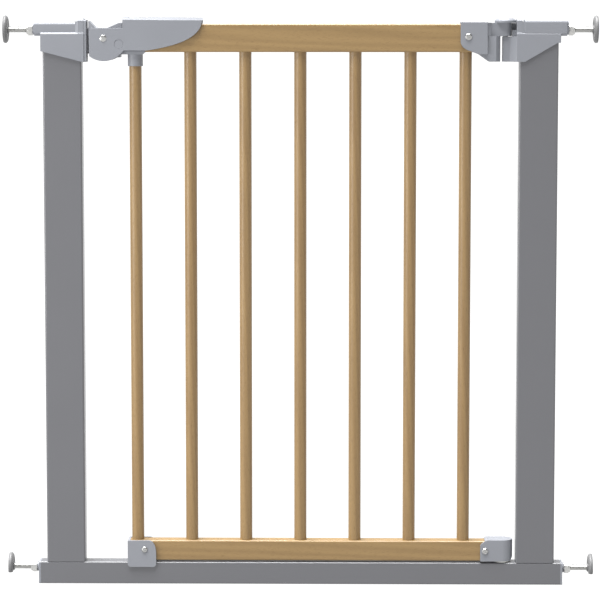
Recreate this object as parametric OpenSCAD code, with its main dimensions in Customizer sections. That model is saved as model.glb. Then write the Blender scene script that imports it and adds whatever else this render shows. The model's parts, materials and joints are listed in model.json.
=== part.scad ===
// Pressure-fit safety baby gate: steel U-frame, lift-and-swing door of beech dowels.
// Front is -Y, up is +Z, the origin is on the floor in the middle of the gate.

/* [Frame] */
// Width over the two upright posts
frame_w = 659; // [560:1:900]
// Width of one upright post, seen from the front
post_w = 50; // [40:1:60]
// Depth of the posts and of the base rail
post_d = 25; // [22:0.5:30]
// Height of the base rail that is stepped over
rail_h = 29; // [24:0.5:32]
// Wall thickness of the steel tubes
tube_wall = 1.5; // [1:0.1:2]

/* [Door] */
// Number of round bars is fixed; this is the spacing between their centres
bar_pitch = 70.5; // [60:0.5:71]
// Diameter of one round bar
bar_d = 16; // [14:0.5:18]
// Depth of the two wooden rails
wood_d = 22; // [20:0.5:22.5]

/* [Heights] */
// Height of the upper spindle axis above the floor
top_axis_z = 718.6; // [700:0.1:730]
// Height of the lower spindle axis above the floor
low_axis_z = 20.8; // [18:0.1:22]

/* [Spindles] */
// Drawn diameter of the spindle, the pitch diameter of its thread
rod_d = 7.2; // [6:0.1:8]
// Distance from the middle of the gate to the outer face of a wall pad
pad_reach = 380; // [370:1:395]
// Diameter of a wall pad
pad_d = 35.4; // [30:0.1:38]

/* [Hidden] */

fine = 64; // facets named for round parts; every one above 12 is a true circle
post_x = frame_w / 2 - post_w / 2; // middle of a post
post_in = frame_w / 2 - post_w; // inner face of a post
shell_y = 14.6; // half depth of the plastic brackets and the handle
sleeve_t = 2.5; // wall of the plastic sleeve on a post
rail_end = 338; // end of the steel base rail
cap_t = 2.6; // flange of the base rail's end cap
boss_d = 12.8; // round boss on the end cap
post_top = 706; // cut end of the steel post, inside its bracket
housing_end = 342; // outer end of the upper spindle housing
housing_low = 710.7; // underside of both spindle housings
rod_gap = 0.08; // radial play of a spindle in its housing and its nut
hinge_x = 262; // hinge axis of the door
wood_top = 725.8; // upper face of the top rail
wood_under = 690; // lower face of the top rail
rail_right = 238; // right end of the top rail, in the hinge block
low_wood_top = 57.2; // upper face of the bottom rail
low_wood_under = 31; // lower face of the bottom rail
bar_bite = 12; // depth that a bar goes into a wooden rail
hub_x = -249.4; // middle of the handle's round left end, from which its outline is drawn
hub_z = 709.3;
pivot_x = -251.5; // handle pivot
pivot_z = 707.6;
pivot_d = 6.4; // handle pivot pin
stop_x = 19.8; // stop pin, measured from the pivot
stop_z = -7.3;
stop_head = 5.6; // radius of the stop pin's heads
lock_x = hub_x + 27; // left face of the rib behind the lock spring
cheek_in = 11.8; // inner face of the handle's cheeks
block_y = 11.3; // half depth of the latch block
lift_angle = 25; // travel of the handle
nut_flat = 13; // width of a nut across its flats
pad_raise = 0.4; // a pad's centre lies this far above its spindle
low_pad_cut = 5.6; // the lower pads are cut flat this far below their spindle

steel_grey = [0.50, 0.50, 0.52];
shell_grey = [0.62, 0.63, 0.67];
beech = [0.80, 0.66, 0.45];
zinc = [0.78, 0.78, 0.78];
pad_grey = [0.55, 0.55, 0.56];
rubber_grey = [0.38, 0.38, 0.39];

// ---------- shared shapes ----------

// Flat rectangle with round corners, centred on the origin
module soft_rect(w, h, r) {
    union() {
        square([w - 2 * r, h], center = true);
        square([w, h - 2 * r], center = true);
        for (sx = [-1, 1], sy = [-1, 1])
            translate([sx * (w / 2 - r), sy * (h / 2 - r)]) circle(r = r, $fn = fine);
    }
}

// Solid whose outline is drawn in X and Z and whose thickness runs from y0 to y1
module slab(y0, y1) {
    translate([0, y1, 0]) rotate([90, 0, 0]) linear_extrude(height = y1 - y0) children();
}

// Solid whose outline is drawn in Y and Z and which runs from x0 to x1
module bar_along_x(x0, x1) {
    translate([x0, 0, 0]) rotate([90, 0, 90]) linear_extrude(height = x1 - x0) children();
}

// Round bar along X at height z
module rod_x(x0, x1, r, z) {
    translate([x0, 0, z]) rotate([0, 90, 0]) cylinder(r = r, h = x1 - x0, $fn = fine);
}

// Round bar along Y through the point x, z
module rod_y(y0, y1, r, x, z) {
    translate([x, y1, z]) rotate([90, 0, 0]) cylinder(r = r, h = y1 - y0, $fn = fine);
}

// Plain box from one corner to the other
module box(a, b) {
    translate(a) cube(b - a);
}

// Screw with a low domed cross-slot head, its head on the face y and its shank running towards +Y
module dome_screw(x, y, z, head_d, shank_d, len) {
    slot_w = head_d * 0.16;
    slot_l = head_d * 0.56;
    slot_deep = 1.1;
    head_h = 2.1;
    difference() {
        translate([x, y, z]) rotate([90, 0, 0]) rotate_extrude($fn = fine) polygon([
            [0, -len], [shank_d / 2, -len], [shank_d / 2, 0], [head_d / 2, 0],
            [head_d / 2, head_h * 0.35], [head_d * 0.40, head_h * 0.75],
            [head_d * 0.24, head_h * 0.96], [0, head_h]]);
        for (turn = [0, 90])
            translate([x, y - head_h, z]) rotate([0, turn + 20, 0])
                cube([slot_l, slot_deep * 2, slot_w], center = true);
    }
}

// ---------- steel frame ----------

module post(side) {
    color(steel_grey)
    translate([side * post_x, 0, rail_h]) linear_extrude(height = post_top - rail_h) difference() {
        soft_rect(post_w, post_d, 2.5);
        soft_rect(post_w - 2 * tube_wall, post_d - 2 * tube_wall, 1);
    }
}

module left_post() { post(-1); }
module right_post() { post(1); }

// Base rail: a flat tube under both posts, with the hole that the lower hinge pin is pressed into
module base_rail() {
    color(steel_grey) difference() {
        bar_along_x(-rail_end, rail_end) translate([0, rail_h / 2]) difference() {
            soft_rect(post_d, rail_h, 2);
            soft_rect(post_d - 2 * tube_wall, rail_h - 2 * tube_wall, 0.8);
        }
        translate([hinge_x, 0, rail_h - 2 * tube_wall]) cylinder(r = 5, h = 4 * tube_wall, $fn = fine);
    }
}

// Plastic cap in the end of the base rail, with a boss round the lower spindle
module end_cap(side) {
    plug_l = 18;
    plug_gap = 0.2;
    boss_l = 2.3;
    color(shell_grey) mirror([side < 0 ? 1 : 0, 0, 0]) difference() {
        union() {
            bar_along_x(rail_end, rail_end + cap_t) translate([0, rail_h / 2])
                soft_rect(post_d, rail_h, 2);
            bar_along_x(rail_end - plug_l, rail_end) translate([0, rail_h / 2])
                soft_rect(post_d - 2 * tube_wall - plug_gap, rail_h - 2 * tube_wall - plug_gap, 1);
            rod_x(rail_end + cap_t, rail_end + cap_t + boss_l, boss_d / 2, low_axis_z);
        }
        rod_x(rail_end - plug_l - 1, rail_end + cap_t + boss_l + 1, rod_d / 2 + rod_gap, low_axis_z);
    }
}

module end_cap_left() { end_cap(-1); }
module end_cap_right() { end_cap(1); }

// Spindle housing across the top of a post, drawn for the right-hand side
module spindle_housing(half_y, h) {
    middle = housing_low + h / 2;
    bar_along_x(286, housing_end - 2) translate([0, middle]) soft_rect(2 * half_y, h, 4);
    bar_along_x(housing_end - 2, housing_end) translate([0, middle])
        soft_rect(2 * half_y - 3, h - 3, 3.4);
}

// Head block at the inner end of the housing, with a chamfered top, for the right-hand side
module head_block(x0, x1, half_y) {
    intersection() {
        slab(-shell_y, shell_y) polygon([[x0, 705], [x0, 731.4], [x0 + 1.4, 732.8],
            [x1 - 2, 732.8], [x1, 730.4], [x1, 705]]);
        bar_along_x(x0, x1) polygon([[-shell_y, 700], [-shell_y, 713.2], [-13.4, 715.4],
            [-13.4, 730.2], [-10.6, 733], [10.6, 733], [13.4, 730.2], [13.4, 715.4],
            [shell_y, 713.2], [shell_y, 700]]);
    }
    // slanted shoulder between the block and the narrower housing
    intersection() {
        slab(-shell_y, shell_y) polygon([[x1 - 1.4, 711], [x1 - 1.4, 730.2], [x1 + 3.6, 728.3],
            [x1 + 3.6, 711]]);
        linear_extrude(height = 760) polygon([[x1 - 1.4, -13.4], [x1, -13.4], [x1 + 3.6, -half_y],
            [x1 + 3.6, half_y], [x1, 13.4], [x1 - 1.4, 13.4]]);
    }
}

// Sloped upper edge shared by both sleeves, as a limit on their depth
module sleeve_section(x0, x1) {
    bar_along_x(x0, x1) polygon([[-shell_y, 670], [-shell_y, 713.2], [-12.6, 715.2], [12.6, 715.2],
        [shell_y, 713.2], [shell_y, 670]]);
}

// Room for the cut end of the steel post inside a sleeve
module post_socket() {
    fit = 0.1;
    translate([post_x, 0, 660]) linear_extrude(height = post_top - 660)
        soft_rect(post_w + 2 * fit, post_d + 2 * fit, 2.5);
}

// Top bracket on the left post: sleeve, spindle housing and the end wall that carries the striker
module bracket_left() {
    wall_in = 276.4;
    color(shell_grey) mirror([1, 0, 0]) difference() {
        union() {
            intersection() {
                slab(-shell_y, shell_y) polygon([[332, 716], [332, 691.2], [279, 677.5],
                    [wall_in, 677.5], [wall_in, 716]]);
                sleeve_section(wall_in, 332);
            }
            spindle_housing(10.6, 17.6);
            head_block(wall_in, wall_in + 7.4, 10.6);
        }
        post_socket();
        rod_x(281, housing_end + 1, rod_d / 2 + rod_gap, top_axis_z);
        for (z = [684, 724.5]) rod_x(wall_in - 1, wall_in + 2.4, 1.5, z);
        rod_y(12, shell_y + 1, 1.6, post_x, 697);
    }
}

// Top bracket on the right post: sleeve, spindle housing and the jaw that holds the upper hinge pin
module bracket_right() {
    face = 276.1;
    jaw_top = 709.8;
    color(shell_grey) difference() {
        union() {
            intersection() {
                slab(-shell_y, shell_y) polygon([[face, 677.8], [286.8, 677.8], [328.4, 702],
                    [332.2, 702], [332.2, 716], [face, 716]]);
                sleeve_section(face, 333);
            }
            translate([0, 0, 677.8]) linear_extrude(height = jaw_top - 677.8) polygon([
                [hinge_x - 3.9, -4.2], [hinge_x - 2.9, -5.2], [hinge_x + 5.9, -5.2],
                [face - 0.2, -shell_y + 0.4], [face + 1, -shell_y], [face + 1, shell_y],
                [face - 0.2, shell_y - 0.4], [hinge_x + 5.9, 5.2], [hinge_x - 2.9, 5.2],
                [hinge_x - 3.9, 4.2]]);
            // ledge beside the eye, with a web behind it up to the cap
            box([270.3, -5, 705], [face + 1, 5, 718.3]);
            box([270.3, 4, 711.6], [face + 1, 9, 726.9]);
            spindle_housing(14.3, 20.6);
            head_block(face, face + 6.4, 13.2);
        }
        post_socket();
        rod_x(281, housing_end + 1, rod_d / 2 + rod_gap, top_axis_z);
        translate([hinge_x, 0, 686]) cylinder(r = 3, h = 40, $fn = fine);
        rod_y(12, shell_y + 1, 1.6, post_x, 697);
    }
}

// Slot that the nose of the handle drops into, cut through the striker and the buffer behind it
module nose_slot() {
    box([-278, -4.8, 689.4], [-270, 4.8, 716.6]);
}

// Plate on the inner end of the left bracket, with the upright slot for the handle's nose
module striker_plate() {
    color(shell_grey) difference() {
        bar_along_x(-276.4, -273.4) translate([0, 704.2]) soft_rect(27.2, 53.4, 2);
        nose_slot();
        for (z = [684, 724.5]) rod_x(-277, -273, 1.7, z);
        for (z = [684, 724.5]) rod_x(-275.2, -273, 3.1, z);
    }
}

// Thin soft plate on the striker that keeps the closed door from rattling
module latch_buffer() {
    color(rubber_grey) difference() {
        bar_along_x(-273.4, -271.6) translate([0, 704.4]) soft_rect(21, 33, 2);
        nose_slot();
    }
}

// Upper hinge pin, pressed into the jaw of the right bracket
module top_hinge_pin() {
    color(zinc) translate([hinge_x, 0, 686]) cylinder(r = 3, h = 40.6, $fn = fine);
}

// Lower hinge pin, pressed into the base rail and spread at its foot
module bottom_hinge_pin() {
    color(zinc) {
        translate([hinge_x, 0, 20]) cylinder(r = 5, h = 31, $fn = fine);
        translate([hinge_x, 0, 18]) cylinder(r = 7.5, h = 2, $fn = fine);
        translate([hinge_x, 0, 20]) cylinder(r = 7.5, h = rail_h - tube_wall - 20, $fn = fine);
    }
}

// One screw through the back of each sleeve into its post
module bracket_screws() {
    color(zinc) for (side = [-1, 1]) mirror([0, 1, 0])
        dome_screw(side * post_x, -shell_y, 697, 7, 3, 2.1);
}

// Two countersunk screws that hold the striker plate
module striker_screws() {
    color(zinc) for (z = [684, 724.5]) {
        rod_x(-278.6, -275.2, 1.5, z);
        rod_x(-275.2, -274, 3, z);
    }
}

// ---------- hinge bush ----------

// Nylon bush on the lower pin: its flange carries the door, its sleeve guides the shoe
module pivot_bush() {
    play = 0.06;
    color([0.86, 0.86, 0.84]) translate([hinge_x, 0, 0]) difference() {
        union() {
            translate([0, 0, rail_h + 0.1]) cylinder(r = 11, h = 1.5, $fn = fine);
            translate([0, 0, rail_h + 1]) cylinder(r = 7, h = 22, $fn = fine);
        }
        translate([0, 0, rail_h - 1]) cylinder(r = 5 + play, h = 40, $fn = fine);
    }
}

// ---------- door ----------

function bar_x(i) = (i - 4) * bar_pitch;

// Wooden rail with round edges and a blind hole for each bar that ends in it
module wood_rail(x0, x1, z0, z1, hole_z0, hole_z1, bars) {
    color(beech) difference() {
        bar_along_x(x0, x1) translate([0, (z0 + z1) / 2]) soft_rect(wood_d, z1 - z0, 2);
        for (i = bars) translate([bar_x(i), 0, hole_z0])
            cylinder(r = bar_d / 2, h = hole_z1 - hole_z0, $fn = fine);
    }
}

module top_rail() {
    difference() {
        wood_rail(-198.4, rail_right, wood_under, wood_top, wood_under - 1, wood_under + bar_bite, [2:7]);
        color(beech) rod_x(-200, -178, 4, 706);
    }
}

module bottom_rail() {
    wood_rail(-221.2, 245, low_wood_under, low_wood_top, low_wood_top - bar_bite, low_wood_top + 1, [1:7]);
}

module door_bar(i) {
    top = i == 1 ? 690 : wood_under + bar_bite;
    low = low_wood_top - bar_bite;
    color(beech) translate([bar_x(i), 0, low]) cylinder(r = bar_d / 2, h = top - low, $fn = fine);
}

module bar_1() { door_bar(1); }
module bar_2() { door_bar(2); }
module bar_3() { door_bar(3); }
module bar_4() { door_bar(4); }
module bar_5() { door_bar(5); }
module bar_6() { door_bar(6); }
module bar_7() { door_bar(7); }

// Slot that the stop pin travels in: straight, along the chord of the pin's short arc
module stop_slot() {
    reach = sqrt(stop_x * stop_x + stop_z * stop_z);
    middle = atan2(stop_z, stop_x) + lift_angle / 2;
    chord = 2 * reach * sin(lift_angle / 2);
    half = 3.55;
    centre = reach * (1 + cos(lift_angle / 2)) / 2;
    slab(-20, 20) translate([pivot_x, pivot_z]) rotate(middle) translate([centre, 0])
        rotate(90) union() {
            square([chord, 2 * half], center = true);
            for (end = [-1, 1]) translate([end * chord / 2, 0]) circle(r = half, $fn = fine);
        }
}

// Latch block at the left end of the door: core between the handle's cheeks, collar for the first bar
module latch_block() {
    collar_r = 9.8;
    foot_z = 687;
    first = bar_x(1);
    color(shell_grey) difference() {
        union() {
            slab(-block_y, block_y) {
                // hub round the pivot
                translate([pivot_x, pivot_z]) circle(r = 12.5, $fn = fine);
                // saddle-shaped top with its two horns
                polygon([[-270.6, 729.4], [-269.6, 729.8], [-262.4, 722], [-258, 720.3], [-248, 720.3],
                    [-231.6, 727.5], [-227.8, 727.5], [-227.8, 719.2], [-198.4, 719.2],
                    [-198.4, 689.6], [-220.5, 689.6], [-220.5, 687], [-230, 687], [-230, 683.2],
                    [-234.6, 683.2], [-237, 696],
                    [-249, 700], [-260, 711], [-270.6, 711]]);
            }
            // foot that carries the collar, a little wider than the core
            slab(-12.6, 12.6) polygon([[-221.8, 691.4], [-198.4, 691.4], [-198.4, 690.6],
                [-201.9, foot_z], [-221.8, foot_z]]);
            translate([first, 0, 672]) cylinder(r = collar_r, h = 18, $fn = fine);
        }
        rod_y(-20, 20, pivot_d / 2, pivot_x, pivot_z);
        stop_slot();
        translate([first, 0, 671]) cylinder(r = bar_d / 2, h = 19, $fn = fine);
        rod_x(-216, -198, 4, 706);
    }
}

// Dowel that joins the latch block to the end of the top rail
module rail_dowel() {
    color(beech) rod_x(-216, -178, 4, 706);
}

// Upper hinge block: cheeks on the top rail, body beside the jaw and the eye that turns on the pin
module top_hinge_block() {
    eye_low = 710.3;
    eye_h = 17;
    face = hinge_x - 6.6;
    color(shell_grey) difference() {
        union() {
            // cheeks on both faces of the rail
            slab(-shell_y, shell_y) polygon([[204.4, 728.3], [204.4, 702], [207, 696.6], [212.4, 693],
                [227, 687.5], [239, 687.5], [239, 728.3]]);
            // body with its two bevels towards the jaw
            intersection() {
                slab(-11.5, 11.5) polygon([[226, 688.4], [240.8, 677.9], [face, 677.9], [face, eye_low - 0.3],
                    [face, eye_low + 0.4], [236, eye_low + 0.4], [226, eye_low]]);
                linear_extrude(height = 760) polygon([[220, -11.5], [hinge_x - 12.1, -11.5],
                    [face, -6], [face, 6], [hinge_x - 12.1, 11.5], [220, 11.5]]);
            }
            // shoulders that narrow from the cheeks to the neck
            translate([0, 0, eye_low + 0.2]) linear_extrude(height = 17) polygon([[234, -14.2], [239, -14.2],
                [243.8, -7.8], [243.8, 7.8], [239, 14.2], [234, 14.2]]);
            // neck and eye above the jaw
            box([236, -7.8, eye_low], [hinge_x, 7.8, eye_low + eye_h]);
            translate([hinge_x, 0, eye_low]) cylinder(r = 7.8, h = eye_h, $fn = fine);
        }
        // socket for the end of the wooden rail
        bar_along_x(200, rail_right) translate([0, (wood_under + wood_top) / 2])
            soft_rect(wood_d, wood_top - wood_under, 2);
        translate([hinge_x, 0, eye_low - 1]) cylinder(r = 3.06, h = 30, $fn = fine);
        rod_y(-16, -wood_d / 2 + 0.1, 2.2, 214.6, 709.6);
    }
}

// Domed cap that closes the eye above the hinge pin
module hinge_cap() {
    color(shell_grey) translate([hinge_x, 0, 0]) difference() {
        union() {
            translate([0, 0, 727.3]) cylinder(r = 13.6, h = 3, $fn = fine);
            translate([0, 0, 730.3]) cylinder(r1 = 13.6, r2 = 10.4, h = 2.6, $fn = fine);
        }
        translate([0, 0, 726]) cylinder(r = 3.2, h = 2.4, $fn = fine);
    }
}

// Lower hinge shoe: holds the rail's end and slides on the bush, half round towards the post
module bottom_shoe() {
    shoe_r = 14;
    top = 59;
    low = low_wood_under;
    color(shell_grey) difference() {
        intersection() {
            union() {
                translate([hinge_x, 0, low]) cylinder(r = shoe_r, h = top - low, $fn = fine);
                box([233.8, -shoe_r, low], [hinge_x, shoe_r, top]);
            }
            slab(-20, 20) polygon([[233.8, low], [233.8, 52], [235.2, 54], [241.2, 58.4], [243.8, top], [277, top],
                [277, 38.6], [273.2, low]]);
        }
        // socket for the end of the wooden rail, open below
        box([230, -wood_d / 2, low - 1], [245, wood_d / 2, low_wood_top]);
        translate([hinge_x, 0, low - 1]) cylinder(r = 7.08, h = 23.4, $fn = fine);
        rod_y(-15, -wood_d / 2 + 0.1, 2.2, 240, 44.5);
    }
}

// Fork at the door's lower left corner: cheeks on the wooden rail that straddle the base rail
module bottom_fork() {
    y_out = 15.4;
    y_in = 12.9;
    left = -224.4;
    right = -187.4;
    low = 22.8;
    top = 57.4;
    corner_w = 9.6;
    corner_h = 16.4;
    foot_r = 4;
    color(shell_grey) difference() {
        slab(-y_out, y_out) union() {
            // upper part with its long elliptical corner
            polygon(concat([[left, 31], [left, top - 0.8], [left + 0.8, top]],
                [for (a = [90:-9:0]) [right - corner_w + corner_w * cos(a), top - corner_h + corner_h * sin(a)]],
                [[right, 31]]));
            translate([left + foot_r, low]) square([right - left - 2 * foot_r, 12]);
            translate([left, low + foot_r]) square([right - left, 8]);
            for (x = [left + foot_r, right - foot_r])
                translate([x, low + foot_r]) circle(r = foot_r, $fn = fine);
        }
        // socket for the wooden rail, open at the top
        box([-221.2, -wood_d / 2, low_wood_under], [-180, wood_d / 2, 70]);
        // gap that drops over the base rail
        box([-230, -y_in, 20], [-180, y_in, rail_h + 0.6]);
        rod_y(-16, -wood_d / 2 + 0.1, 2.2, -202.4, 45.7);
    }
}

// Pin that the handle turns on
module handle_pivot() {
    color(zinc) {
        rod_y(-15, 15, pivot_d / 2, pivot_x, pivot_z);
        for (side = [-1, 1]) mirror([0, side > 0 ? 1 : 0, 0])
            translate([pivot_x, -15, pivot_z]) rotate([90, 0, 0])
                cylinder(r1 = pivot_d / 2, r2 = 2.2, h = 0.7, $fn = fine);
    }
}

// Screws through the front cheeks of the hinge block, the shoe and the fork
module door_screws() {
    color(zinc) {
        dome_screw(214.6, -shell_y, 709.6, 8.8, 4.4, 3.5);
        dome_screw(240, -14, 44.5, 8, 4.4, 2.9);
        dome_screw(-202.4, -15.4, 45.7, 7.6, 4.4, 4.3);
    }
}

// ---------- handle and lock ----------

// Point on a cubic curve through four control points
function curve(t, a, b, c, d) =
    pow(1 - t, 3) * a + 3 * pow(1 - t, 2) * t * b + 3 * (1 - t) * t * t * c + t * t * t * d;

// Outline of one cheek of the handle, measured from its hub
function cheek_outline() = concat(
    [for (a = [146:4.25:180]) 20.6 * [cos(a), sin(a)]],
    [for (a = [232:4:320]) [-1.6, -0.6] + 30.2 * [cos(a), sin(a)]],
    [[24.2, -17.4]],
    [for (k = [0:16]) curve(k / 16, [52.9, -17.4], [90, -11.8], [122.4, -2], [124.2, 20.6])],
    [[124.6, 30], [22.6, 30], [22.6, 11.4]]);

// Crowned top of the grip, as a limit on the handle's height across its depth
module crown() {
    sag = 3.7;
    crown_r = (shell_y * shell_y + sag * sag) / (2 * sag);
    translate([hub_x + 22, 0, hub_z + 25.6 - crown_r]) rotate([0, 90.6, 0]) translate([0, 0, -1])
        cylinder(r = crown_r, h = 110, $fn = 128);
    box([-280, -shell_y, 660], [-100, shell_y, hub_z + 18]);
}

module latch_handle() {
    under = hub_z + 18.7; // underside of the web over the rail
    color(shell_grey) difference() {
        union() {
            difference() {
                intersection() {
                    slab(-shell_y, shell_y) translate([hub_x, hub_z]) polygon(cheek_outline());
                    crown();
                }
                // room between the cheeks for the latch block and the rail
                box([-275, -cheek_in, 650], [-110, cheek_in, under]);
            }
            // wall between the cheeks and the nose that stands in the striker
            slab(-cheek_in - 1, cheek_in + 1) translate([hub_x, hub_z]) polygon([
                [-20.6, -1], [-20.6, -18], [-18.6, -19.4], [-16.8, -14], [-17.3, -1]]);
            slab(-4.2, 4.2) translate([hub_x, hub_z]) polygon([[-26, -3.4], [-26, -7.6],
                [-23.6, -10.6], [-18, -10.6], [-18, -2.4], [-25, -2.4]]);
            // rib that the lock spring pushes on
            box([lock_x, -5, 721.6], [lock_x + 2, 5, under + 0.5]);
        }
        rod_y(-20, 20, pivot_d / 2 + 0.05, pivot_x, pivot_z);
        rod_y(-20, 20, 3, pivot_x + stop_x, pivot_z + stop_z);
        for (side = [-1, 1]) mirror([0, side > 0 ? 1 : 0, 0])
            rod_y(-15, -12.8, stop_head, pivot_x + stop_x, pivot_z + stop_z);
        // recess and slot for the lock slide
        box([lock_x + 3, -7.4, 731.6], [lock_x + 27.2, 7.4, 740]);
        box([lock_x + 7.2, -3.2, 727], [lock_x + 19.8, 3.2, 733]);
    }
}

// Pin through both cheeks that runs in the block's slot and ends the handle's travel
module stop_pin() {
    color(shell_grey) {
        rod_y(-12.8, 12.8, 3, pivot_x + stop_x, pivot_z + stop_z);
        rod_y(-14.4, -12.8, stop_head - 0.15, pivot_x + stop_x, pivot_z + stop_z);
        rod_y(12.8, 14.4, stop_head - 0.15, pivot_x + stop_x, pivot_z + stop_z);
    }
}

// Thumb slide in the top of the handle, with its stem, runner and foot
module lock_slide() {
    color(shell_grey) translate([lock_x, 0, 0]) {
        difference() {
            box([10.2, -7, 731.9], [24.2, 7, 734]);
            for (k = [0:3]) box([13.4 + k * 2.4, -5.6, 733.4], [14.4 + k * 2.4, 5.6, 735]);
        }
        box([14.4, -2.9, 727], [19.4, 2.9, 732]);
        box([11.6, -5, 724.9], [21.6, 5, 727.7]);
        box([17.6, -3, 719.8], [20.2, 3, 725]);
    }
}

// One coil of wire as a chain of rings of points, for a spring along X
function coil_point(t, r, x0, len, turns) = [x0 + len * t, r * cos(360 * turns * t), r * sin(360 * turns * t)];

module lock_spring() {
    turns = 5;
    steps = 80;
    sides = 8;
    coil_r = 1.9;
    wire = 0.3;
    x0 = lock_x + 2.3;
    len = 9;
    rings = [for (k = [0:steps]) let (p = coil_point(k / steps, coil_r, x0, len, turns),
        a = 360 * turns * k / steps, out = [0, cos(a), sin(a)])
        [for (s = [0:sides - 1]) p + wire * (cos(360 * s / sides) * out + sin(360 * s / sides) * [1, 0, 0])]];
    points = [for (ring = rings, q = ring) q];
    walls = [for (k = [0:steps - 1], s = [0:sides - 1]) let (n = (s + 1) % sides)
        [k * sides + s, k * sides + n, (k + 1) * sides + n, (k + 1) * sides + s]];
    ends = [[for (s = [sides - 1:-1:0]) s], [for (s = [0:sides - 1]) steps * sides + s]];
    color(zinc) translate([0, 0, 725]) polyhedron(points = points, faces = concat(walls, ends));
}

// ---------- spindles ----------

// Threaded spindle, drawn for the right-hand side at its own height
module spindle(side, z) {
    color(zinc) mirror([side < 0 ? 1 : 0, 0, 0]) {
        rod_x(302, pad_reach - 4, rod_d / 2, z);
        translate([301, 0, z]) rotate([0, 90, 0]) cylinder(r1 = rod_d / 2 - 1, r2 = rod_d / 2, h = 1, $fn = fine);
    }
}

module spindle_top_left() { spindle(-1, top_axis_z); }
module spindle_top_right() { spindle(1, top_axis_z); }
module spindle_low_left() { spindle(-1, low_axis_z); }
module spindle_low_right() { spindle(1, low_axis_z); }

// Hexagon nut with a washer face, turned by hand or spanner to push the spindle out
module nut(side, z, start) {
    hex_r = nut_flat / 2 / cos(30);
    color(zinc) mirror([side < 0 ? 1 : 0, 0, 0]) translate([start, 0, z]) rotate([0, 90, 0]) difference() {
        union() {
            intersection() {
                cylinder(r = hex_r, h = 6.4, $fn = 6);
                union() {
                    cylinder(r1 = nut_flat / 2 - 0.2, r2 = hex_r + 0.2, h = 1.2, $fn = fine);
                    translate([0, 0, 1.2]) cylinder(r = hex_r + 0.2, h = 5.2, $fn = fine);
                }
            }
            translate([0, 0, 6.4]) cylinder(r = 6.2, h = 1.8, $fn = fine);
        }
        translate([0, 0, -1]) cylinder(r = rod_d / 2 + rod_gap, h = 12, $fn = fine);
    }
}

module nut_top_left() { nut(-1, top_axis_z, housing_end + 0.4); }
module nut_top_right() { nut(1, top_axis_z, housing_end + 0.4); }
module nut_low_left() { nut(-1, low_axis_z, 343.3); }
module nut_low_right() { nut(1, low_axis_z, 343.3); }

// Outline of a wall pad seen along its spindle, cut flat below on the lower pads
module pad_outline(z, r, cut) {
    difference() {
        translate([0, z + pad_raise]) circle(r = r, $fn = 96);
        translate([-30, z - cut - 40]) square([60, 40]);
    }
}

// Wall pad: disc with a stepped rim and a hub on the spindle
module wall_pad(side, z, cut) {
    r = pad_d / 2;
    face = pad_reach - 1.2;
    color(pad_grey) mirror([side < 0 ? 1 : 0, 0, 0]) difference() {
        union() {
            bar_along_x(face - 3, face) pad_outline(z, r, cut);
            bar_along_x(face - 4, face - 3) pad_outline(z, r - 1, cut - 0.6);
            rod_x(face - 5.6, face - 4, 5.4, z);
        }
        rod_x(face - 8, face - 2.8, rod_d / 2, z);
    }
}

module pad_top_left() { wall_pad(-1, top_axis_z, 50); }
module pad_top_right() { wall_pad(1, top_axis_z, 50); }
module pad_low_left() { wall_pad(-1, low_axis_z, low_pad_cut); }
module pad_low_right() { wall_pad(1, low_axis_z, low_pad_cut); }

// Rubber face glued to the outside of a wall pad
module pad_face(side, z, cut) {
    color(rubber_grey) mirror([side < 0 ? 1 : 0, 0, 0])
        bar_along_x(pad_reach - 1.2, pad_reach) pad_outline(z, pad_d / 2 - 0.6, cut - 0.4);
}

module pad_face_top_left() { pad_face(-1, top_axis_z, 50); }
module pad_face_top_right() { pad_face(1, top_axis_z, 50); }
module pad_face_low_left() { pad_face(-1, low_axis_z, low_pad_cut); }
module pad_face_low_right() { pad_face(1, low_axis_z, low_pad_cut); }

left_post();
right_post();
base_rail();
end_cap_left();
end_cap_right();
bracket_left();
bracket_right();
striker_plate();
latch_buffer();
top_hinge_pin();
bottom_hinge_pin();
bracket_screws();
striker_screws();
pivot_bush();
top_rail();
bottom_rail();
bar_1();
bar_2();
bar_3();
bar_4();
bar_5();
bar_6();
bar_7();
latch_block();
rail_dowel();
top_hinge_block();
hinge_cap();
bottom_shoe();
bottom_fork();
handle_pivot();
door_screws();
latch_handle();
stop_pin();
lock_slide();
lock_spring();
spindle_top_left();
spindle_top_right();
spindle_low_left();
spindle_low_right();
nut_top_left();
nut_top_right();
nut_low_left();
nut_low_right();
pad_top_left();
pad_top_right();
pad_low_left();
pad_low_right();
pad_face_top_left();
pad_face_top_right();
pad_face_low_left();
pad_face_low_right();
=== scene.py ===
import json
import math

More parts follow.
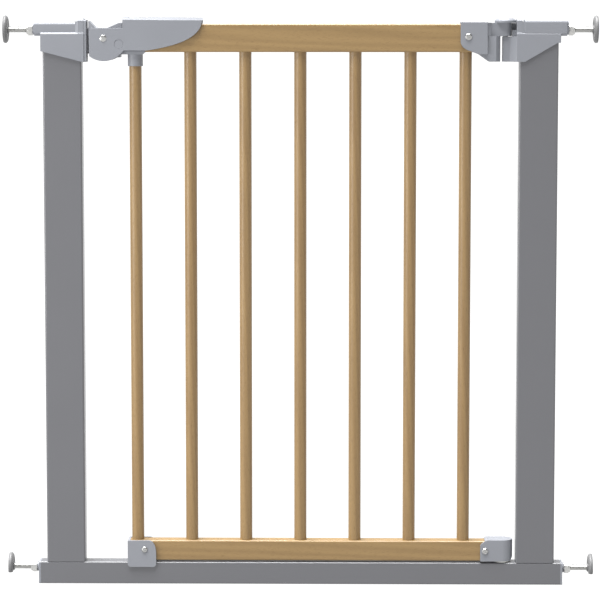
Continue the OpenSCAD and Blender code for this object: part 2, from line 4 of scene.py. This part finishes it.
import bmesh
import bpy
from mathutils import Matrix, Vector


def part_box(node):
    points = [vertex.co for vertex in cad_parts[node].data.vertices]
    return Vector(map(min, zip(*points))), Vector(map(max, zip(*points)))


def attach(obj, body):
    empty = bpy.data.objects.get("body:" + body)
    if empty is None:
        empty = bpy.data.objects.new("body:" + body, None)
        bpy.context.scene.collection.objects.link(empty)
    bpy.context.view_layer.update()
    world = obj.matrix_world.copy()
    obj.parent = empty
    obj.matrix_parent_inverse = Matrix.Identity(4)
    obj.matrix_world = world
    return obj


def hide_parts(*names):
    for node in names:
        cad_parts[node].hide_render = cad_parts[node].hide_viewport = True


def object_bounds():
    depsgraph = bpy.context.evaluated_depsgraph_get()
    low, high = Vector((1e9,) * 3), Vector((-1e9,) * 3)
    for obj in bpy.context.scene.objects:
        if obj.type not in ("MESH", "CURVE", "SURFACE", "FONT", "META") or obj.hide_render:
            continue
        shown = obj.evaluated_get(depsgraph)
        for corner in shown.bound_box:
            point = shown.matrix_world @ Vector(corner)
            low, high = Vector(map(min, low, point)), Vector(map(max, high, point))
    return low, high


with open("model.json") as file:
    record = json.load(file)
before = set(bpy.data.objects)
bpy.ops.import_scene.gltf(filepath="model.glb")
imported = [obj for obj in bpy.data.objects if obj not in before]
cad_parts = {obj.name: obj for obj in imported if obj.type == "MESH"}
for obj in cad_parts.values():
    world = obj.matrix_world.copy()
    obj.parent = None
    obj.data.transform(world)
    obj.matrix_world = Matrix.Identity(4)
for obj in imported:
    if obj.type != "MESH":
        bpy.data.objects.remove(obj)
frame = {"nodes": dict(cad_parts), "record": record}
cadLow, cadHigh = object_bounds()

mm = 0.001
mergeGap = 0.002 * mm  # points of a new piece that are closer than this become one
record = frame["record"]
bodyOf = {node: body for body, members in record["behaviour"]["bodies"].items() for node in members}
slotOf = {part["node"]: part["material_slot"] for part in record["subparts"]}
corners = ["top_left", "top_right", "low_left", "low_right"]
print("frame loaded:", len(bodyOf), "nodes")


class Wire:
    def __init__(self, tree, socket=None):
        self.tree = tree
        self.socket = socket

    def make(self, kind, settings=None, sockets=None, out=0):
        node = self.tree.nodes.new(kind)
        for name, value in (settings or {}).items():
            if name == "stops":
                self.fillRamp(node.color_ramp, value)
            else:
                setattr(node, name, value)
        for name, value in (sockets or {}).items():
            if isinstance(value, Wire):
                self.tree.links.new(value.socket, node.inputs[name])
            else:
                node.inputs[name].default_value = value
        return Wire(self.tree, node.outputs[out])

    def fillRamp(self, ramp, stops):
        while len(ramp.elements) < len(stops):
            ramp.elements.new(0.5)
        for element, (place, tone) in zip(ramp.elements, stops):
            element.position = place
            element.color = (tone, tone, tone, 1)

    def maths(self, operation, first, second):
        return self.make("ShaderNodeMath", {"operation": operation}, {0: first, 1: second})

    def __add__(self, other):
        return self.maths("ADD", self, other)

    def __radd__(self, other):
        return self.maths("ADD", other, self)

    def __sub__(self, other):
        return self.maths("SUBTRACT", self, other)

    def __rsub__(self, other):
        return self.maths("SUBTRACT", other, self)

    def __mul__(self, other):
        return self.maths("MULTIPLY", self, other)

    def __rmul__(self, other):
        return self.maths("MULTIPLY", other, self)

    def clamped(self):
        return self.make("ShaderNodeClamp", {}, {"Value": self})


def startMaterial(name, fixed):
    material = bpy.data.materials.new(name)
    material.use_nodes = True
    tree = material.node_tree
    tree.nodes.clear()
    out = tree.nodes.new("ShaderNodeOutputMaterial")
    shader = tree.nodes.new("ShaderNodeBsdfPrincipled")
    tree.links.new(shader.outputs[0], out.inputs["Surface"])
    for socket, value in fixed.items():
        shader.inputs[socket].default_value = value
    return material, shader, Wire(tree)


def plug(shader, socket, wire):
    wire.tree.links.new(wire.socket, shader.inputs[socket])


def tint(factor, dark, light):  # colour that runs from dark to light
    return factor.make("ShaderNodeMix", {"data_type": "RGBA"},
                       {0: factor, 6: (*dark, 1), 7: (*light, 1)}, out=2)


def noise(place, scale, detail=2.0, roughness=0.5):
    return place.make("ShaderNodeTexNoise", {}, {
        "Vector": place, "Scale": scale, "Detail": detail, "Roughness": roughness})


def stretched(place, along, across, axis):  # coordinates packed across the grain
    scale = [across, across, across]
    scale[axis] = along
    return place.make("ShaderNodeMapping", {}, {"Vector": place, "Scale": scale})


def ramp(value, stops):
    return value.make("ShaderNodeValToRGB", {"stops": stops}, {"Fac": value})


def bump(height, depth):
    return height.make("ShaderNodeBump", {}, {"Height": height, "Distance": depth, "Strength": 1.0})


def shellPlastic():
    look = {"dark": (0.182, 0.189, 0.209), "light": (0.199, 0.207, 0.227), "specular": 0.42,
            "grainSize": 0.45 * mm, "grainDepth": 0.020 * mm, "grainShare": 0.2, "cloudScale": 28,
            "scuffScale": 160, "scuffs": [(0.56, 0), (0.70, 1)],
            "roughness": 0.42, "grainRoughness": 0.10, "scuffRoughness": 0.06}
    material, shader, wire = startMaterial("shellPlastic", {"Specular IOR Level": look["specular"]})
    place = wire.make("ShaderNodeTexCoord", out="Object")
    grain = noise(place, 1 / look["grainSize"], 3, 0.6)
    cloud = noise(place, look["cloudScale"], 3)
    scuff = ramp(noise(place, look["scuffScale"], 5, 0.7), look["scuffs"])
    mottle = (cloud * (1 - look["grainShare"]) + grain * look["grainShare"]).clamped()
    plug(shader, "Base Color", tint(mottle, look["dark"], look["light"]))
    plug(shader, "Roughness",
         look["roughness"] + grain * look["grainRoughness"] + scuff * look["scuffRoughness"])
    plug(shader, "Normal", bump(grain, look["grainDepth"]))
    return material


def frameLacquer():
    look = {"dark": (0.091, 0.092, 0.100), "light": (0.099, 0.100, 0.109), "specular": 0.5,
            "coat": 0.5, "coatRoughness": 0.12, "peelSize": 1.6 * mm, "peelDepth": 0.018 * mm,
            "fleckScale": 2600, "fleckShare": 0.4, "cloudScale": 14,
            "roughness": 0.36, "cloudRoughness": 0.10, "fleckRoughness": 0.05}
    material, shader, wire = startMaterial("frameLacquer", {
        "Specular IOR Level": look["specular"], "Coat Weight": look["coat"],
        "Coat Roughness": look["coatRoughness"]})
    place = wire.make("ShaderNodeTexCoord", out="Object")
    peel = noise(place, 1 / look["peelSize"], 2)
    fleck = noise(place, look["fleckScale"], 1)
    cloud = noise(place, look["cloudScale"], 3)
    mottle = (cloud * (1 - look["fleckShare"]) + fleck * look["fleckShare"]).clamped()
    plug(shader, "Base Color", tint(mottle, look["dark"], look["light"]))
    plug(shader, "Roughness",
         look["roughness"] + cloud * look["cloudRoughness"] + fleck * look["fleckRoughness"])
    plug(shader, "Normal", bump(peel, look["peelDepth"]))
    return material


def beech(name, axis, look):  # the parts of the grain that rails and bars share
    grain = {"driftAlong": 2.2, "driftAcross": 34, "driftShare": 0.50, "ringAlong": 0.05, "ringBend": 7.0,
             "ringShare": 0.34, "fibreAlong": 22, "fibreAcross": 1500, "fibreShare": 0.42, "toneShift": 0.16,
             "poreAlong": 190, "poreAcross": 2300, "flecks": [(0.61, 0), (0.70, 1)], "fleckShow": 0.42,
             "fibreRoughness": 0.14, "fleckRoughness": 0.10, "specular": 0.45, "coat": 0.22,
             "coatUnderFleck": 0.10, "coatRoughness": 0.3,
             "fibreHeight": 0.5, "fleckHeight": 0.7, "ringHeight": 0.2}
    material, shader, wire = startMaterial(name, {
        "Specular IOR Level": grain["specular"], "Coat Roughness": grain["coatRoughness"]})
    place = wire.make("ShaderNodeTexCoord", out="Object")
    drift = noise(stretched(place, grain["driftAlong"], grain["driftAcross"], axis), 1, 3, 0.55)
    rings = place.make("ShaderNodeTexWave", {"bands_direction": "DIAGONAL"}, {
        "Vector": stretched(place, grain["ringAlong"], 1, axis), "Scale": look["ringScale"],
        "Distortion": grain["ringBend"], "Detail": 3.0, "Detail Scale": 0.9,
        "Detail Roughness": 0.55}, out="Fac")
    fibre = noise(stretched(place, grain["fibreAlong"], grain["fibreAcross"], axis), 1, 3, 0.65)
    pores = noise(stretched(place, grain["poreAlong"], grain["poreAcross"], axis), 1, 1, 0.5)
    fleck = ramp(pores, grain["flecks"])
    tone = (rings * grain["ringShare"] + drift * grain["driftShare"] + fibre * grain["fibreShare"]
            - grain["toneShift"]).clamped()
    ground = tint(tone, look["dark"], look["light"])
    marked = fleck.make("ShaderNodeMix", {"data_type": "RGBA"}, {
        0: fleck * grain["fleckShow"], 6: ground, 7: (*look["fleck"], 1)}, out=2)
    relief = fibre * grain["fibreHeight"] - fleck * grain["fleckHeight"] + rings * grain["ringHeight"]
    plug(shader, "Base Color", marked)
    plug(shader, "Roughness",
         look["roughness"] + fibre * grain["fibreRoughness"] + fleck * grain["fleckRoughness"])
    plug(shader, "Coat Weight", grain["coat"] - fleck * grain["coatUnderFleck"])
    plug(shader, "Normal", bump(relief, look["depth"]))
    return material


def beechRail():
    return beech("beechRail", 0, {
        "dark": (0.183, 0.111, 0.040), "light": (0.276, 0.180, 0.071), "fleck": (0.122, 0.063, 0.021),
        "roughness": 0.34, "ringScale": 46, "depth": 0.06 * mm})


def beechBar():
    return beech("beechBar", 2, {
        "dark": (0.177, 0.105, 0.038), "light": (0.266, 0.171, 0.067), "fleck": (0.116, 0.060, 0.020),
        "roughness": 0.36, "ringScale": 62, "depth": 0.06 * mm})


def metalFinish(name, look):
    plating = {"cloudScale": 420, "fineScale": 3800, "cloudRoughness": 0.16, "fineRoughness": 0.06}
    material, shader, wire = startMaterial(name, {"Metallic": 1.0})
    place = wire.make("ShaderNodeTexCoord", out="Object")
    cloud = noise(place, plating["cloudScale"], 4, 0.6)
    fine = noise(place, plating["fineScale"], 2)
    plug(shader, "Base Color", tint(cloud, look["dark"], look["light"]))
    plug(shader, "Roughness",
         look["roughness"] + cloud * plating["cloudRoughness"] + fine * plating["fineRoughness"])
    plug(shader, "Normal", bump(fine, look["depth"]))
    return material


def zincPlate():
    return metalFinish("zincPlate", {
        "dark": (0.360, 0.360, 0.355), "light": (0.500, 0.500, 0.490),
        "roughness": 0.24, "depth": 0.006 * mm})


def spindleZinc():
    return metalFinish("spindleZinc", {
        "dark": (0.430, 0.430, 0.420), "light": (0.590, 0.590, 0.575),
        "roughness": 0.26, "depth": 0.008 * mm})


def dullFinish(name, look):
    surface = {"cloudScale": 60, "grainShare": 0.4, "grainRoughness": 0.14}
    material, shader, wire = startMaterial(name, {"Specular IOR Level": look["specular"]})
    place = wire.make("ShaderNodeTexCoord", out="Object")
    grain = noise(place, 1 / look["grainSize"], 3, 0.6)
    cloud = noise(place, surface["cloudScale"], 3)
    mottle = (cloud * (1 - surface["grainShare"]) + grain * surface["grainShare"]).clamped()
    plug(shader, "Base Color", tint(mottle, look["dark"], look["light"]))
    plug(shader, "Roughness", look["roughness"] + grain * surface["grainRoughness"])
    plug(shader, "Normal", bump(grain, look["depth"]))
    return material


def padPlastic():
    return dullFinish("padPlastic", {
        "dark": (0.123, 0.123, 0.125), "light": (0.152, 0.152, 0.154), "specular": 0.4,
        "roughness": 0.42, "grainSize": 0.5 * mm, "depth": 0.02 * mm})


def padRubber():
    return dullFinish("padRubber", {
        "dark": (0.086, 0.086, 0.089), "light": (0.111, 0.111, 0.113), "specular": 0.25,
        "roughness": 0.62, "grainSize": 0.35 * mm, "depth": 0.03 * mm})


def bufferRubber():
    return dullFinish("bufferRubber", {
        "dark": (0.152, 0.153, 0.168), "light": (0.176, 0.179, 0.195), "specular": 0.25,
        "roughness": 0.60, "grainSize": 0.35 * mm, "depth": 0.03 * mm})


def bushNylon():
    return dullFinish("bushNylon", {
        "dark": (0.62, 0.62, 0.58), "light": (0.72, 0.72, 0.68), "specular": 0.4,
        "roughness": 0.38, "grainSize": 0.6 * mm, "depth": 0.01 * mm})


finishes = {
    "frame_lacquer": frameLacquer(), "grey_shell": shellPlastic(), "buffer_rubber": bufferRubber(),
    "zinc_steel": zincPlate(), "nylon": bushNylon(), "beech_rail": beechRail(), "beech_bar": beechBar(),
    "spindle_steel": spindleZinc(), "pad_plastic": padPlastic(), "pad_rubber": padRubber()}
for nodeName, nodeObject in frame["nodes"].items():
    nodeObject.data.materials.clear()
    nodeObject.data.materials.append(finishes[slotOf[nodeName]])
print("finishes made:", len(finishes))


def finishPiece(bm, name, node, recalc=True):  # a new piece that stands for one node
    if recalc:
        bmesh.ops.remove_doubles(bm, verts=bm.verts, dist=mergeGap)
        bmesh.ops.recalc_face_normals(bm, faces=bm.faces)
    mesh = bpy.data.meshes.new(name)
    bm.to_mesh(mesh)
    bm.free()
    piece = bpy.data.objects.new(name, mesh)
    bpy.context.scene.collection.objects.link(piece)
    mesh.materials.append(finishes[slotOf[node]])
    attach(piece, bodyOf[node])
    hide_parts(node)
    return piece


def smoothByAngle(piece, degrees):
    piece.data.shade_smooth()
    piece.data.set_sharp_from_angle(angle=math.radians(degrees))


def bevelRim(bm, rim, offset, segments):
    bmesh.ops.bevel(bm, geom=rim, offset=offset, offset_type="OFFSET", affect="EDGES", segments=segments,
                    profile=0.5, material=-1, clamp_overlap=True)


def mergedCopy(node):  # the node's mesh with its loose triangles joined into flat faces
    joining = {"gap": 0.05 * mm, "flatDegrees": 0.5}
    bm = bmesh.new()
    bm.from_mesh(frame["nodes"][node].data)
    bmesh.ops.remove_doubles(bm, verts=bm.verts, dist=joining["gap"])
    bmesh.ops.dissolve_limit(bm, angle_limit=math.radians(joining["flatDegrees"]),
                             verts=bm.verts, edges=bm.edges)
    return bm


# Each sharp edge is rounded as far as its shortest neighbour leaves room.
def roundEdges(bm, piece, width, sharpFrom):
    edging = {"sharpDegrees": 26, "leastRoom": 0.2 * mm, "shareOfRoom": 0.42, "segments": 2, "evenWeight": 80}
    layer = piece.data.attributes.new("bevel_weight_edge", "FLOAT", "EDGE")
    for edge in bm.edges:
        if len(edge.link_faces) == 2 and edge.calc_face_angle(0) > math.radians(edging["sharpDegrees"]):
            room = min(other.calc_length() for vertex in edge.verts for other in vertex.link_edges)
            rightEnd = max(vertex.co.x for vertex in edge.verts)
            if room > edging["leastRoom"] and rightEnd < sharpFrom:
                layer.data[edge.index].value = min(1.0, edging["shareOfRoom"] * room / width)
    rounding = piece.modifiers.new("roundedEdges", "BEVEL")
    rounding.width = width
    rounding.segments = edging["segments"]
    rounding.limit_method = "WEIGHT"
    rounding.use_clamp_overlap = False
    even = piece.modifiers.new("evenShading", "WEIGHTED_NORMAL")
    even.weight = edging["evenWeight"]
    even.keep_sharp = True


# The node's own shape with rounded edges, which stay sharp where x is beyond sharpFrom.
def softened(node, width, shape=None, sharpFrom=1.0):
    bm = mergedCopy(node)
    if shape:
        shape(bm)
    bm.edges.index_update()
    kept = bm.copy()
    piece = finishPiece(bm, node + "_shell", node, recalc=False)
    piece.data.shade_smooth()
    roundEdges(kept, piece, width, sharpFrom)
    kept.free()
    return piece


def crownSaddle(bm):  # the block's saddle falls away towards the front and the back
    saddle = {"from": -0.272, "to": -0.2265, "above": 0.7195, "depth": 3.3 * mm, "segments": 5,
              "slack": 0.01 * mm}
    half = max(vertex.co.y for vertex in bm.verts if vertex.co.z > saddle["above"])
    rim = [edge for edge in bm.edges if all(
        vertex.co.z > saddle["above"] and abs(abs(vertex.co.y) - half) < saddle["slack"]
        and saddle["from"] < vertex.co.x < saddle["to"] for vertex in edge.verts)]
    bevelRim(bm, rim, saddle["depth"], saddle["segments"])


softEdges = {"bracket_left": 0.45, "bracket_right": 0.45, "striker_plate": 0.25, "latch_buffer": 0.25,
             "top_hinge_block": 0.45, "bottom_shoe": 0.3, "end_cap_left": 0.35, "end_cap_right": 0.35,
             "stop_pin": 0.20, "lock_slide": 0.25, "hinge_cap": 0.6, "door_screws": 0.12,
             "bracket_screws": 0.12}
latchEdges = {"block": 0.3, "handle": 0.4, "handleTipFrom": -0.128}
for nodeName, edgeWidth in softEdges.items():
    softened(nodeName, edgeWidth * mm)
softened("latch_block", latchEdges["block"] * mm, shape=crownSaddle)
softened("latch_handle", latchEdges["handle"] * mm, sharpFrom=latchEdges["handleTipFrom"])
print("moulded parts rounded:", len(softEdges) + 2)


def spun(bm, points, centre, axis, steps):  # line of points turned once round an axis
    start = [bm.verts.new(point) for point in points]
    edges = [bm.edges.new(pair) for pair in zip(start, start[1:])]
    bmesh.ops.spin(bm, geom=start + edges, cent=centre, axis=axis, angle=2 * math.pi,
                   steps=steps, use_merge=True)


def lathe(bm, outline, centre, steps=72):  # closed outline of (x, radius) spun about an axis along X
    points = [(centre.x + x, centre.y, centre.z + radius) for x, radius in outline]
    spun(bm, points, centre, (1, 0, 0), steps)
    bmesh.ops.remove_doubles(bm, verts=bm.verts, dist=mergeGap)


def cutAndClose(bm, point, normal):  # removes what lies beyond the plane and fills the cut
    cut = bmesh.ops.bisect_plane(bm, geom=bm.verts[:] + bm.edges[:] + bm.faces[:], plane_co=point,
                                 plane_no=normal, clear_outer=True)
    rim = [item for item in cut["geom_cut"] if isinstance(item, bmesh.types.BMEdge)]
    bmesh.ops.holes_fill(bm, edges=rim, sides=0)


def sideOf(corner):
    return 1 if corner.endswith("right") else -1


def rodHeight(corner):
    low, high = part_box("spindle_" + corner)
    return (low.z + high.z) / 2


padRaise = 0.4 * mm  # the pads' centres stand this much above their rods


def threadedSpindle(corner):
    rod = {"pitch": 1.25 * mm, "crest": 3.86 * mm, "root": 3.36 * mm, "stepsPerTurn": 16,
           "runIn": 1.5, "extraTurns": 2, "gap": 0.004 * mm, "smoothDegrees": 35}
    profile = [(0.0, rod["root"]), (0.12, rod["root"]), (0.46, rod["crest"]), (0.60, rod["crest"]),
               (1.0, rod["root"])]  # share of the pitch, radius
    low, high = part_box("spindle_" + corner)
    axis = Vector((low.x, (low.y + high.y) / 2, (low.z + high.z) / 2))
    turns = math.ceil((high.x - low.x) / rod["pitch"]) + rod["extraTurns"]
    bm = bmesh.new()
    start = [bm.verts.new((axis.x + (share - rod["runIn"]) * rod["pitch"], axis.y, axis.z + radius))
             for share, radius in profile]
    edges = [bm.edges.new(pair) for pair in zip(start, start[1:])]
    bmesh.ops.spin(bm, geom=start + edges, cent=axis, axis=(1, 0, 0),
                   dvec=(rod["pitch"] / rod["stepsPerTurn"], 0, 0),
                   angle=turns * 2 * math.pi, steps=turns * rod["stepsPerTurn"])
    bmesh.ops.remove_doubles(bm, verts=bm.verts, dist=rod["gap"])
    cutAndClose(bm, high, (1, 0, 0))
    cutAndClose(bm, low, (-1, 0, 0))
    piece = finishPiece(bm, "threaded_spindle_" + corner, "spindle_" + corner)
    smoothByAngle(piece, rod["smoothDegrees"])


def wallPad(corner):  # outlines are (distance from the wall, radius) in millimetres
    pad = {"outline": [(-4.0, 0.0), (-4.0, 11.2), (-4.35, 11.9), (-4.35, 13.6), (-4.1, 14.8), (-3.4, 16.3),
                       (-2.3, 17.35), (-1.2, 17.7), (-0.4, 17.62), (0.0, 17.2), (0.0, 0.0)],
           "hubOutline": [(-5.6, 0.0), (-5.6, 4.6), (-5.2, 5.3), (-4.6, 5.4), (-3.8, 5.5), (-3.6, 0.0)],
           "hubSteps": 48, "rimRound": 0.7 * mm, "rimSegments": 3, "onPlane": 0.001 * mm,
           "smoothDegrees": 38}
    low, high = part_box("pad_" + corner)
    side = sideOf(corner)
    rodZ = rodHeight(corner)
    faceX = high.x if side > 0 else low.x
    bm = bmesh.new()
    centre = Vector((faceX, 0, rodZ + padRaise))
    lathe(bm, [(side * x * mm, radius * mm) for x, radius in pad["outline"]], centre)
    if corner.startswith("low"):  # flat below, clear of the floor
        cutAndClose(bm, (0, 0, low.z), (0, 0, -1))
        rim = [edge for edge in bm.edges if all(abs(v.co.z - low.z) < pad["onPlane"] for v in edge.verts)]
        bevelRim(bm, rim, pad["rimRound"], pad["rimSegments"])
    hub = bmesh.new()
    lathe(hub, [(side * x * mm, radius * mm) for x, radius in pad["hubOutline"]],
          Vector((faceX, 0, rodZ)), pad["hubSteps"])
    merged = bpy.data.meshes.new("hub")
    hub.to_mesh(merged)
    hub.free()
    bm.from_mesh(merged)
    bpy.data.meshes.remove(merged)
    piece = finishPiece(bm, "moulded_pad_" + corner, "pad_" + corner)
    smoothByAngle(piece, pad["smoothDegrees"])


def padFace(corner):  # millimetres; the rim is (distance from the wall, inset)
    face = {"thick": 1.2, "edge": 17.1, "rim": [(-0.5, 0.0), (-0.12, 0.3), (0.0, 0.9)],
            "rings": [4.0, 7.4, 10.8, 14.2], "ringWide": 0.9, "ringDeep": 0.5, "ringSlope": 0.3,
            "smoothDegrees": 30}
    low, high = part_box("pad_face_" + corner)
    side = sideOf(corner)
    centre = Vector((high.x if side > 0 else low.x, 0, rodHeight(corner) + padRaise))
    outline = [(-face["thick"], 0.0), (-face["thick"], face["edge"])]
    outline += [(x, face["edge"] - inset) for x, inset in face["rim"]]
    for ring in reversed(face["rings"]):  # moulded grooves in the gripping face
        outline += [(0.0, ring + face["ringWide"]),
                    (-face["ringDeep"], ring + face["ringWide"] * (1 - face["ringSlope"])),
                    (-face["ringDeep"], ring + face["ringWide"] * face["ringSlope"]), (0.0, ring)]
    outline.append((0.0, 0.0))
    bm = bmesh.new()
    lathe(bm, [(side * x * mm, radius * mm) for x, radius in outline], centre)
    if corner.startswith("low"):
        cutAndClose(bm, (0, 0, low.z), (0, 0, -1))
    piece = finishPiece(bm, "grip_face_" + corner, "pad_face_" + corner)
    smoothByAngle(piece, face["smoothDegrees"])


def hexNut(corner):
    nut = {"flats": 13.0, "faceInset": 0.15, "chamfer": 0.675, "thick": 6.4, "shoulder": 0.3, "washer": 6.2,
           "washerRoot": 0.05, "washerThick": 1.8, "washerEdge": 0.4, "bore": 3.85, "boreMouth": 0.4,
           "mouthDeep": 0.35, "washerMouth": 0.35, "washerMouthDeep": 0.3, "sides": 48, "smoothDegrees": 24}
    low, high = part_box("nut_" + corner)
    side = sideOf(corner)
    inner = low.x if side > 0 else high.x
    axis = Vector((inner, 0, (low.z + high.z) / 2))
    cornerRadius = nut["flats"] / 2 / math.cos(math.pi / 6)
    top = nut["thick"] + nut["washerThick"]
    sides = nut["sides"]

    def ring(bm, x, radiusAt):
        made = []
        for k in range(sides):
            angle = 2 * math.pi * k / sides
            radius = radiusAt(angle)
            spot = Vector((side * x, radius * math.sin(angle), radius * math.cos(angle)))
            made.append(bm.verts.new(axis + spot * mm))
        return [bm.edges.new((made[k], made[(k + 1) % sides])) for k in range(sides)]

    def hexRadius(angle):  # corners point straight up, as on the node
        within = (angle + math.pi / 6) % (math.pi / 3) - math.pi / 6
        return cornerRadius * math.cos(math.pi / 6) / math.cos(math.pi / 6 - abs(within))

    def chamfered(angle):
        return min(hexRadius(angle), nut["flats"] / 2 - nut["faceInset"])

    def plain(radius):
        return lambda angle: radius

    levels = [(nut["mouthDeep"], plain(nut["bore"])),
              (0.0, plain(nut["bore"] + nut["boreMouth"])),
              (0.0, chamfered),
              (nut["chamfer"], hexRadius),
              (nut["thick"] - nut["shoulder"], hexRadius),
              (nut["thick"], plain(nut["washer"] + nut["washerRoot"])),
              (top - nut["washerEdge"], plain(nut["washer"])),
              (top, plain(nut["washer"] - nut["washerEdge"])),
              (top, plain(nut["bore"] + nut["washerMouth"])),
              (top - nut["washerMouthDeep"], plain(nut["bore"]))]
    bm = bmesh.new()
    rings = [ring(bm, x, radiusAt) for x, radiusAt in levels]
    for near, far in zip(rings, rings[1:] + rings[:1]):
        bmesh.ops.bridge_loops(bm, edges=near + far)
    piece = finishPiece(bm, "hex_nut_" + corner, "nut_" + corner)
    smoothByAngle(piece, nut["smoothDegrees"])


for corner in corners:
    threadedSpindle(corner)
    wallPad(corner)
    padFace(corner)
    hexNut(corner)
print("spindles, nuts and pads made")


def handlePivot():  # pin with a low domed head on each cheek
    pin = {"cheek": 14.6, "half": [(-0.2, 3.2), (-0.05, 4.3), (0.25, 4.4), (0.7, 3.784), (1.05, 2.552),
                                   (1.25, 1.1), (1.25, 0.0)],  # millimetres out from the cheek, radius
           "steps": 48, "smoothDegrees": 40}
    low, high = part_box("handle_pivot")
    centre = Vector(((low.x + high.x) / 2, 0, (low.z + high.z) / 2))
    half = [(pin["cheek"] + out, radius) for out, radius in pin["half"]]
    outline = [(-y, radius) for y, radius in reversed(half)] + half
    bm = bmesh.new()
    spun(bm, [centre + Vector((0, y * mm, radius * mm)) for y, radius in outline], centre, (0, 1, 0),
         pin["steps"])
    piece = finishPiece(bm, "pivot_rivet", "handle_pivot")
    smoothByAngle(piece, pin["smoothDegrees"])


handlePivot()
print("handle pivot made")


def link(name, data):
    made = bpy.data.objects.new(name, data)
    bpy.context.scene.collection.objects.link(made)
    return made


def floorFinish():
    look = {"dark": (0.030, 0.030, 0.030), "light": (0.036, 0.036, 0.036), "glow": 1.02,
            "toneScale": 1.5, "roughness": 0.8, "roughScale": 40, "roughSpread": 0.1}
    material, shader, wire = startMaterial("studioFloor", {
        "Specular IOR Level": 0.0, "Emission Color": (1, 1, 1, 1), "Emission Strength": look["glow"]})
    place = wire.make("ShaderNodeTexCoord", out="Object")
    plug(shader, "Base Color", tint(noise(place, look["toneScale"], 2), look["dark"], look["light"]))
    plug(shader, "Roughness", look["roughness"] + noise(place, look["roughScale"], 2) * look["roughSpread"])
    return material


def studioFloor():
    ground = {"radius": 40.0, "segments": 96, "drop": 0.5 * mm}
    bm = bmesh.new()
    bmesh.ops.create_circle(bm, cap_ends=True, radius=ground["radius"], segments=ground["segments"])
    bmesh.ops.translate(bm, verts=bm.verts, vec=(0, 0, cadLow.z - ground["drop"]))
    mesh = bpy.data.meshes.new("floor")
    bm.to_mesh(mesh)
    bm.free()
    mesh.materials.append(floorFinish())
    floor = link("floor", mesh)


def studioLights():
    lights = {"sun": 14.0, "sunSpread": 54, "sunTilt": (2, -10),
              "key": 17.0, "keyPlace": (-1.5, -0.9, 0.6), "keySize": 0.9, "keyAim": (0, 0, 0.4)}
    sun = bpy.data.lights.new("topLight", "SUN")
    sun.energy = lights["sun"]
    sun.angle = math.radians(lights["sunSpread"])
    sunObject = link("topLight", sun)
    sunObject.rotation_euler = [math.radians(angle) for angle in lights["sunTilt"]] + [0]

    key = bpy.data.lights.new("leftLight", "AREA")
    key.energy = lights["key"]
    key.shape = "SQUARE"
    key.size = lights["keySize"]
    keyObject = link("leftLight", key)
    keyObject.location = lights["keyPlace"]
    aim = Vector(lights["keyAim"]) - keyObject.location
    keyObject.rotation_euler = aim.to_track_quat("-Z", "Y").to_euler()


def studioSky():  # bright low down all round, dimmer overhead
    sky = {"horizon": 1.1, "horizonTop": 0.16, "zenithFrom": 0.34, "zenith": 0.2}
    world = bpy.data.worlds.new("studioWorld")
    bpy.context.scene.world = world
    world.use_nodes = True
    world.node_tree.nodes.clear()
    wire = Wire(world.node_tree)
    direction = wire.make("ShaderNodeTexCoord", out="Generated")
    height = direction.make("ShaderNodeSeparateXYZ", {}, {0: direction}, out="Z")
    glow = ramp(height, [(0.0, sky["horizon"]), (sky["horizonTop"], sky["horizon"]),
                         (sky["zenithFrom"], sky["zenith"]), (1.0, sky["zenith"])])
    light = glow.make("ShaderNodeBackground", {}, {"Color": glow, "Strength": 1.0})
    out = world.node_tree.nodes.new("ShaderNodeOutputWorld")
    world.node_tree.links.new(light.socket, out.inputs["Surface"])


def studioCamera():
    view = {"lens": 165.77, "sensorWidth": 36, "place": (0.05353, -3.550, 0.74817),
            "downward": 0.10589, "turn": 0.015207}  # radians
    camera = bpy.data.cameras.new("camera")
    camera.lens = view["lens"]
    camera.sensor_width = view["sensorWidth"]
    cameraObject = link("camera", camera)
    cameraObject.location = view["place"]
    cameraObject.rotation_euler = (math.pi / 2 - view["downward"], 0, view["turn"])
    bpy.context.scene.camera = cameraObject
    bpy.context.scene.view_settings.view_transform = "Standard"


studioFloor()
studioLights()
studioSky()
studioCamera()
print("studio ready")
